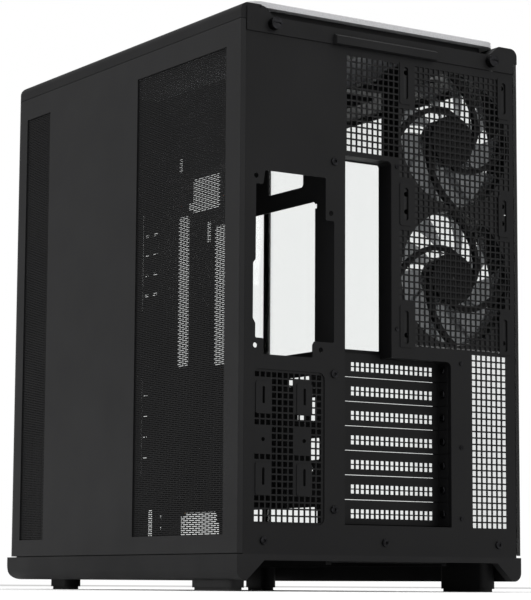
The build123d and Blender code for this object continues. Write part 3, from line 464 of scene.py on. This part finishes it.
def gauzeSheet(name, node, thick, material):
    # flat-pressed nylon threads crossing at right angles, in two layers that touch
    low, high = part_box(node)
    first, second = [i for i in range(3) if i != thick]
    pitch, thread, half = gauze["pitchMm"] * mm, gauze["threadMm"] * mm, gauze["thickMm"] * mm / 2
    at = (low[thick] + high[thick]) / 2
    mesh = bmesh.new()
    for along, step, near, far in ((first, second, at - half, at), (second, first, at, at + half)):
        count = int((high[step] - low[step]) / pitch)
        for i in range(count):
            middle = low[step] + (i + 0.5) * pitch
            barBetween(mesh, (along, step), thick, low[along], high[along],
                       middle - thread / 2, middle + thread / 2, near, far)
    return meshObject(name, mesh, material)


for part in ("side_mesh_wide", "side_mesh_narrow"):
    steel = perforatedSheet(part + "_sheet", part, 0, finishes["meshCoat"])
    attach(steel, "side_panel")
    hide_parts(part)

topSheet = perforatedSheet("top_mesh_sheet", "top_mesh", 2, finishes["meshPale"])
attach(topSheet, "top_panel")
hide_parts("top_mesh")

floorGauze = gauzeSheet("filter_gauze", "filter_mesh", 2, finishes["nylon"])
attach(floorGauze, "dust_filter")
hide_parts("filter_mesh")
print("perforated sheets and gauze made")


# enamel borders inside the panes

enamelBand = {
    "sideMm": 7.0,
    "endMm": 14.0,
    "insetMm": 0.4,
    "depthMm": 0.12,         # how far it lies under the pane's face
    "thickMm": 0.05,
}


def enamelFrame(name, pane, body, thick, inward):
    # a printed black band round the pane, just under its inner face
    low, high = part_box(pane)
    long, tall = [i for i in range(3) if i != thick]
    face = high[thick] if inward > 0 else low[thick]
    t0 = face - inward * enamelBand["depthMm"] * mm
    t1 = t0 - inward * enamelBand["thickMm"] * mm
    t0, t1 = min(t0, t1), max(t0, t1)
    inset = enamelBand["insetMm"] * mm
    a0, a1 = low[long] + inset, high[long] - inset
    b0, b1 = low[tall] + inset, high[tall] - inset
    side, end = enamelBand["sideMm"] * mm, enamelBand["endMm"] * mm
    mesh = bmesh.new()
    for span in ((a0, a1, b0, b0 + end), (a0, a1, b1 - end, b1),
                 (a0, a0 + side, b0 + end, b1 - end), (a1 - side, a1, b0 + end, b1 - end)):
        barBetween(mesh, (long, tall), thick, *span, t0, t1)
    thing = meshObject(name, mesh, finishes["enamel"])
    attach(thing, body)
    return thing


enamelFrame("left_glass_enamel", "left_glass", "left_glass", 0, 1)
enamelFrame("front_glass_enamel", "front_glass", "front_glass", 1, 1)
print("enamel borders made")


# floor, light and camera

studio = {
    "floorColour": "#E6E6E6",
    "floorWashColour": "#E9E9E9",
    "floorSizeM": 14.0,
    "skyForSight": 1.0,      # what the eye and the glass see behind the object
    "skyForLight": 0.55,     # what the sky adds to the object's light
}

mesh = bmesh.new()
bmesh.ops.create_grid(mesh, x_segments=1, y_segments=1, size=studio["floorSizeM"] / 2)
floorMaterial, tree = startMaterial("painted_studio_floor")
wash = noise(tree, grainSizesMm["floorWash"], 1.0)
paint = addNode(tree, "ShaderNodeBsdfPrincipled", {
    "Base Color": twoTones(tree, wash, hexToLinear(studio["floorColour"]),
                           hexToLinear(studio["floorWashColour"])),
    "Roughness": 0.9, "Specular IOR Level": 0.0})
finishMaterial(tree, paint.outputs["BSDF"])
floor = meshObject("studio_floor", mesh, floorMaterial)

world = bpy.data.worlds.new("studio_sky")
scene.world = world
world.use_nodes = True
tree = world.node_tree
tree.nodes.clear()
path = addNode(tree, "ShaderNodeLightPath")
seen = addNode(tree, "ShaderNodeMath", {
    0: path.outputs["Is Camera Ray"], 1: path.outputs["Is Transmission Ray"]}, operation="MAXIMUM")
strength = addNode(tree, "ShaderNodeMapRange", {
    "Value": seen.outputs[0], "To Min": studio["skyForLight"], "To Max": studio["skyForSight"]})
sky = addNode(tree, "ShaderNodeBackground", {
    "Color": (1, 1, 1, 1), "Strength": strength.outputs[0]})
addNode(tree, "ShaderNodeOutputWorld", {"Surface": sky.outputs[0]})

lamps = {
    # name: (place, aimed at, size, watts)
    "sideSoftbox": ((3.2, 0.2, 1.6), (0.145, 0, 0.2), (2.4, 2.4), 54.0),
    "overheadSoftbox": ((0.0, 0.0, 3.2), (0, 0, 0), (3.0, 3.0), 70.0),
    "rearSoftbox": ((-1.4, 3.4, 1.8), (0, 0.2, 0.2), (2.0, 2.0), 22.0),
    "frontSoftbox": ((-3.3, -0.9, 1.8), (0, 0, 0.2), (2.2, 2.2), 40.0),
}
for name, (place, target, size, watts) in lamps.items():
    light = bpy.data.lights.new(name, "AREA")
    light.shape = "RECTANGLE"
    light.size, light.size_y = size
    light.energy = watts
    thing = bpy.data.objects.new(name, light)
    thing.location = place
    aim = Vector(target) - Vector(place)
    thing.rotation_euler = aim.to_track_quat("-Z", "Y").to_euler()
    scene.collection.objects.link(thing)

cameraSetup = {
    "place": (1.0888, 1.6616, 0.0049),   # metres, just over the floor, off the rear steel side
    "headingDeg": 146.54,
    "tiltUpDeg": 7.372,
    "rollDeg": 0.34,
    "lensMm": 132.21,
    "filmMm": 36.0,
}
camera = bpy.data.cameras.new("studio_camera")
camera.sensor_width = cameraSetup["filmMm"]
camera.sensor_fit = "AUTO"
camera.lens = cameraSetup["lensMm"]
camera.clip_start, camera.clip_end = 0.05, 60.0
viewer = bpy.data.objects.new("studio_camera", camera)
turn = (Matrix.Rotation(math.radians(cameraSetup["headingDeg"]), 4, "Z")
        @ Matrix.Rotation(math.radians(90 + cameraSetup["tiltUpDeg"]), 4, "X")
        @ Matrix.Rotation(math.radians(cameraSetup["rollDeg"]), 4, "Z"))
viewer.matrix_world = Matrix.Translation(cameraSetup["place"]) @ turn
scene.collection.objects.link(viewer)
scene.camera = viewer
scene.view_settings.view_transform = "Standard"
print("floor, light and camera set")
